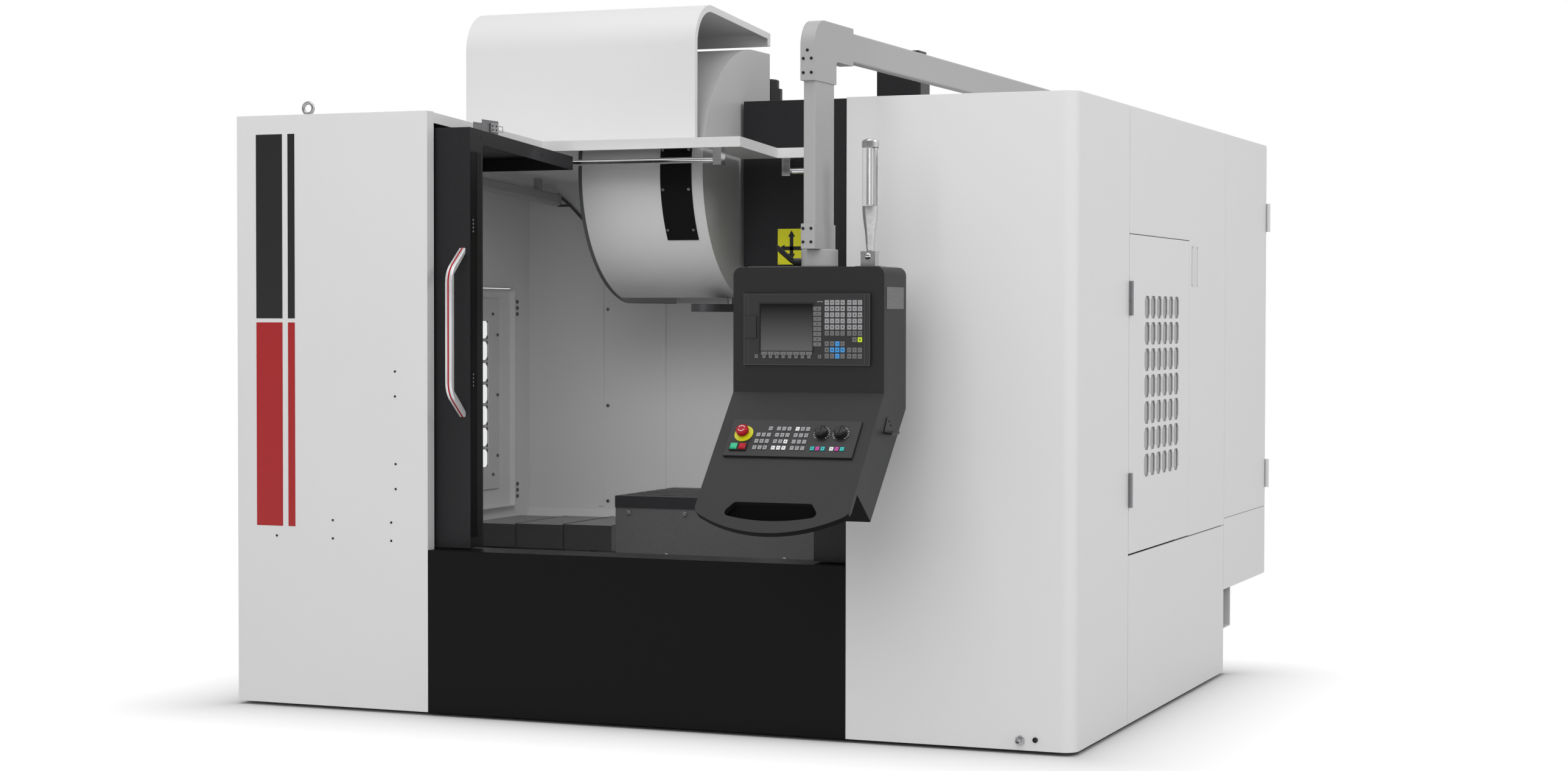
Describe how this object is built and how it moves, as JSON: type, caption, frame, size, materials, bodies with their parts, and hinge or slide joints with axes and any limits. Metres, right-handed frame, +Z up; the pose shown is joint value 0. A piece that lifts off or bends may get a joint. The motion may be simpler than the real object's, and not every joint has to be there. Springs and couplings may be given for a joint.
{
  "type": "cnc machining center",
  "caption": "Enclosed vertical machining centre with open sliding doors, a table under a vertical spindle, a side tool magazine and a console on a swinging arm",
  "frame": {"origin": "On the floor, under the middle of the machine's outline with the console in its rest position", "axes": "+X to the operator's right, +Y from the front doors to the rear cabinet, +Z up"},
  "size_m": [3.3326, 4.0019, 2.749],
  "materials": {
    "enclosure_white": "fine-textured powder coat",
    "anthracite_paint": "fine-textured powder coat",
    "black_paint": "smooth satin paint",
    "casting_paint": "smooth machine paint",
    "cast_iron": "ground and scraped",
    "bright_steel": "ground steel",
    "cover_steel": "rolled stainless sheet",
    "hard_chrome": "polished",
    "alloy": "brushed and anodised",
    "arm_grey": "smooth satin paint",
    "glass_clear": "clear laminated glass",
    "screen_glass": "dark glossy glass",
    "black_plastic": "fine matte",
    "grey_plastic": "fine matte",
    "red_plastic": "moulded gloss",
    "green_plastic": "moulded gloss",
    "lamp_plastic": "translucent",
    "silver_plastic": "metallic lacquer",
    "motor_black": "satin"
  },
  "bodies": {
    "machine_frame": {"base_casting": "casting_paint", "levelling_pads": "cast_iron", "column": "casting_paint", "linear_rails": "bright_steel", "drive_motors": "motor_black", "magazine_cover": "enclosure_white", "magazine_access_cover": "black_paint", "changer_housing": "casting_paint", "magazine_hood": "enclosure_white", "left_front_panel": "enclosure_white", "right_front_panel": "enclosure_white", "front_lower_panel": "black_paint", "left_side_wall": "enclosure_white", "right_side_wall": "enclosure_white", "top_covers": "enclosure_white", "roof_panel": "enclosure_white", "inner_guard": "enclosure_white", "guide_rods": "hard_chrome", "electrical_cabinet": "enclosure_white", "eye_bolts": "bright_steel", "work_light": "lamp_plastic", "arm_pivot": "arm_grey"},
    "saddle_unit": {"saddle": "cast_iron", "x_drive": "bright_steel", "fixed_way_covers": "cover_steel"},
    "inner_covers": {"inner_way_covers": "cover_steel"},
    "outer_covers": {"outer_way_covers": "cover_steel"},
    "table_unit": {"table": "cast_iron", "table_guards": "black_paint"},
    "head_unit": {"head_casting": "casting_paint", "head_cover": "anthracite_paint"},
    "spindle_unit": {"spindle": "bright_steel"},
    "carousel_unit": {"tool_carousel": "alloy"},
    "quill_unit": {"changer_quill": "hard_chrome"},
    "arm_unit": {"changer_arm": "bright_steel"},
    "left_door_unit": {"left_door": "anthracite_paint", "left_door_window": "glass_clear", "left_handle": "alloy"},
    "right_door_unit": {"right_door": "anthracite_paint", "right_door_window": "glass_clear", "right_handle": "alloy"},
    "left_side_door_unit": {"left_side_door": "enclosure_white", "left_side_window": "glass_clear"},
    "right_side_door_unit": {"right_side_door": "enclosure_white", "right_side_window": "glass_clear"},
    "cabinet_door_unit": {"cabinet_door": "enclosure_white"},
    "boom_unit": {"console_arm": "arm_grey"},
    "console_unit": {"console_collar": "black_plastic", "console_housing": "anthracite_paint", "control_unit": "grey_plastic", "screen": "screen_glass", "panel_keys": "grey_plastic", "operator_panel": "black_plastic", "lamp_stem": "silver_plastic", "lamp_tube": "lamp_plastic"},
    "estop_unit": {"estop_button": "red_plastic"},
    "start_unit": {"start_button": "green_plastic"},
    "stop_unit": {"stop_button": "red_plastic"},
    "feed_knob_unit": {"feed_knob": "black_plastic"},
    "spindle_knob_unit": {"spindle_knob": "black_plastic"}
  },
  "joints": [
    {"name": "left_door_slide", "type": "slide", "parent": "machine_frame", "child": "left_door_unit", "axis": [1, 0, 0], "range_m": [0, 0.68]},
    {"name": "right_door_slide", "type": "slide", "parent": "machine_frame", "child": "right_door_unit", "axis": [-1, 0, 0], "range_m": [0, 0.68]},
    {"name": "saddle_slide", "type": "slide", "parent": "machine_frame", "child": "saddle_unit", "axis": [0, 1, 0], "range_m": [-0.3, 0.3]},
    {"name": "table_slide", "type": "slide", "parent": "saddle_unit", "child": "table_unit", "axis": [1, 0, 0], "range_m": [-0.6, 0.6]},
    {"name": "inner_cover_slide", "type": "slide", "parent": "saddle_unit", "child": "inner_covers", "axis": [1, 0, 0], "range_m": [-0.2, 0.2]},
    {"name": "outer_cover_slide", "type": "slide", "parent": "saddle_unit", "child": "outer_covers", "axis": [1, 0, 0], "range_m": [-0.4, 0.4]},
    {"name": "head_slide", "type": "slide", "parent": "machine_frame", "child": "head_unit", "axis": [0, 0, 1], "range_m": [-0.65, 0]},
    {"name": "spindle_spin", "type": "hinge", "parent": "head_unit", "child": "spindle_unit", "pos_m": [0, 0.696, 1.56], "axis": [0, 0, 1], "continuous": true},
    {"name": "carousel_turn", "type": "hinge", "parent": "machine_frame", "child": "carousel_unit", "pos_m": [-0.565, 0.696, 2.071], "axis": [1, 0, 0], "continuous": true},
    {"name": "arm_drop", "type": "slide", "parent": "machine_frame", "child": "quill_unit", "axis": [0, 0, 1], "range_m": [-0.11, 0]},
    {"name": "arm_swing", "type": "hinge", "parent": "quill_unit", "child": "arm_unit", "pos_m": [-0.34, 0.696, 1.516], "axis": [0, 0, 1], "range_deg": [0, 180]},
    {"name": "left_side_door_hinge", "type": "hinge", "parent": "machine_frame", "child": "left_side_door_unit", "pos_m": [-1.6583, 1.1215, 1.111], "axis": [0, 0, -1], "range_deg": [0, 110]},
    {"name": "right_side_door_hinge", "type": "hinge", "parent": "machine_frame", "child": "right_side_door_unit", "pos_m": [1.6583, -0.3955, 1.202], "axis": [0, 0, -1], "range_deg": [0, 110]},
    {"name": "cabinet_door_hinge", "type": "hinge", "parent": "machine_frame", "child": "cabinet_door_unit", "pos_m": [1.6583, 1.993, 1.295], "axis": [0, 0, -1], "range_deg": [0, 110]},
    {"name": "boom_swing", "type": "hinge", "parent": "machine_frame", "child": "boom_unit", "pos_m": [0.892, 1.36, 2.338], "axis": [0, 0, 1], "range_deg": [-12, 12]},
    {"name": "console_swivel", "type": "hinge", "parent": "boom_unit", "child": "console_unit", "pos_m": [0.892, -1.516, 1.7], "axis": [0, 0, 1], "range_deg": [-60, 60]},
    {"name": "estop_press", "type": "slide", "parent": "console_unit", "child": "estop_unit", "axis": [0, 0.7517, -0.6595], "range_m": [0, 0.005], "stiffness_N_per_m": 1500, "springref_m": -0.002},
    {"name": "start_press", "type": "slide", "parent": "console_unit", "child": "start_unit", "axis": [0, 0.7517, -0.6595], "range_m": [0, 0.003], "stiffness_N_per_m": 800, "springref_m": -0.001},
    {"name": "stop_press", "type": "slide", "parent": "console_unit", "child": "stop_unit", "axis": [0, 0.7517, -0.6595], "range_m": [0, 0.003], "stiffness_N_per_m": 800, "springref_m": -0.001},
    {"name": "feed_knob_turn", "type": "hinge", "parent": "console_unit", "child": "feed_knob_unit", "pos_m": [0.989, -1.74441, 1.1026], "axis": [0, -0.7517, 0.6595], "range_deg": [-135, 135]},
    {"name": "spindle_knob_turn", "type": "hinge", "parent": "console_unit", "child": "spindle_knob_unit", "pos_m": [1.0545, -1.74441, 1.1026], "axis": [0, -0.7517, 0.6595], "range_deg": [-135, 135]}
  ],
  "couplings": [
    {"joint": "inner_cover_slide", "follows": "table_slide", "ratio": 0.33333},
    {"joint": "outer_cover_slide", "follows": "table_slide", "ratio": 0.66667}
  ]
}
